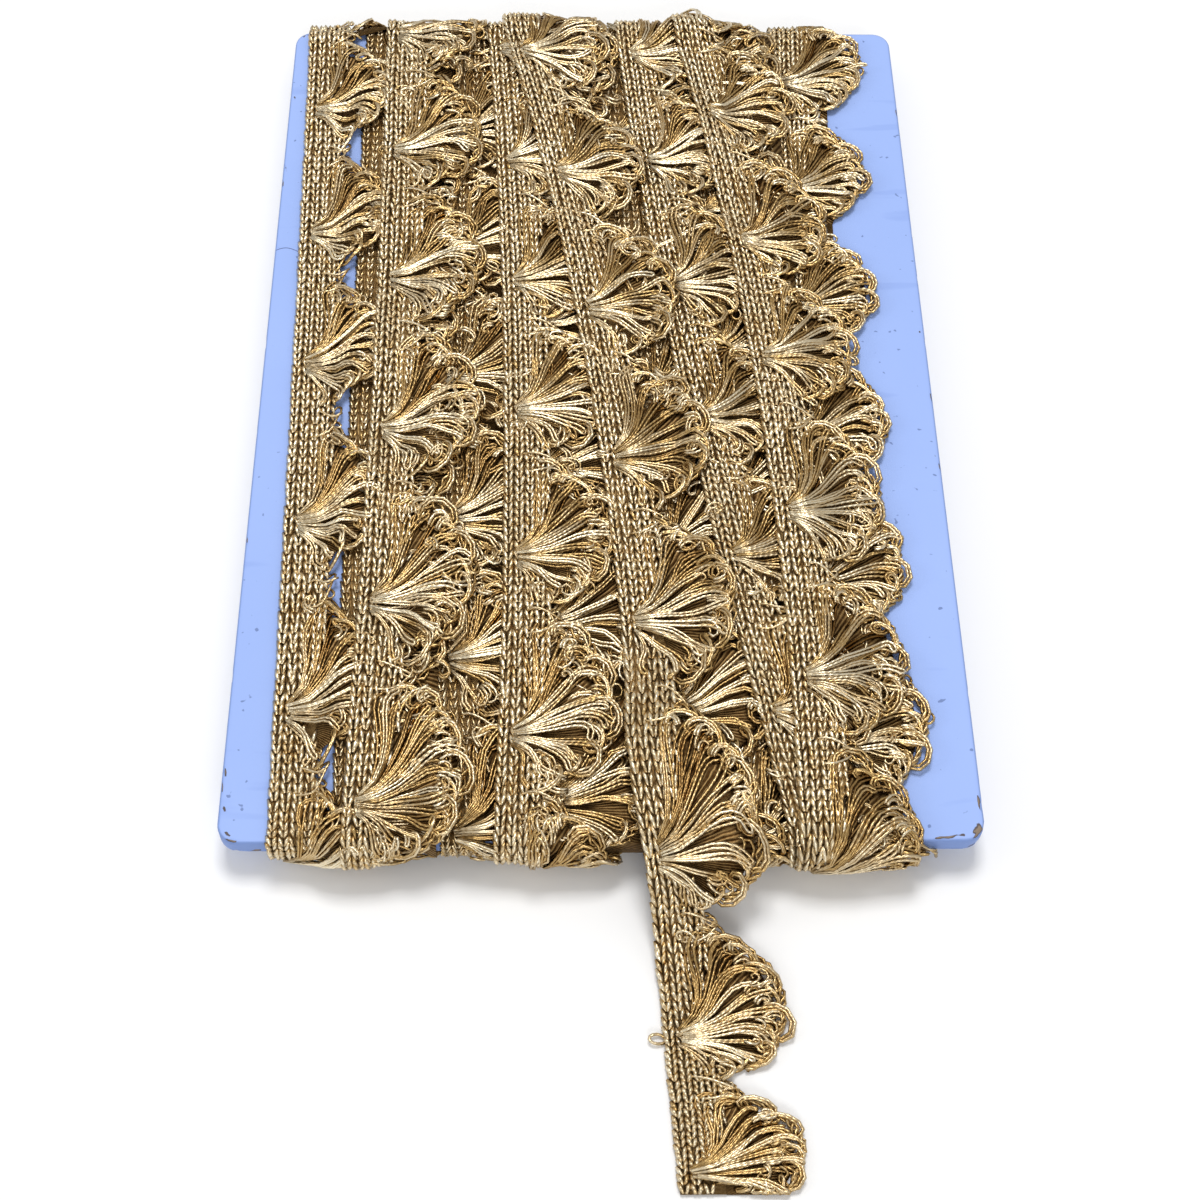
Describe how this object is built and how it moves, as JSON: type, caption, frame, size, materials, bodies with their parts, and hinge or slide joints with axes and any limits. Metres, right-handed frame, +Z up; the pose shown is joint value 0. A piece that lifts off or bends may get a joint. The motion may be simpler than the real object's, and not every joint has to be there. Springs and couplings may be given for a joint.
{
  "type": "lace border trim wound on a painted card",
  "caption": "Scalloped metallic gold lace border trim with a knitted heading and shell fans, wound on a flat pale blue card with its loose end in front.",
  "frame": {"origin": "on the surface that the part lies on, under the middle of its whole outline", "axes": "+Y along the card's long sides, from the loose end to the far edge; +Z up from the surface"},
  "size_m": [0.105, 0.2066, 0.0133],
  "materials": {
    "card_paint": "thin pale blue paint with chipped edges",
    "gold_thread": "shiny metallic gold thread"
  },
  "bodies": {
    "root": {"card": "card_paint", "wound_lace": "gold_thread", "loose_end": "gold_thread"}
  },
  "joints": []
}
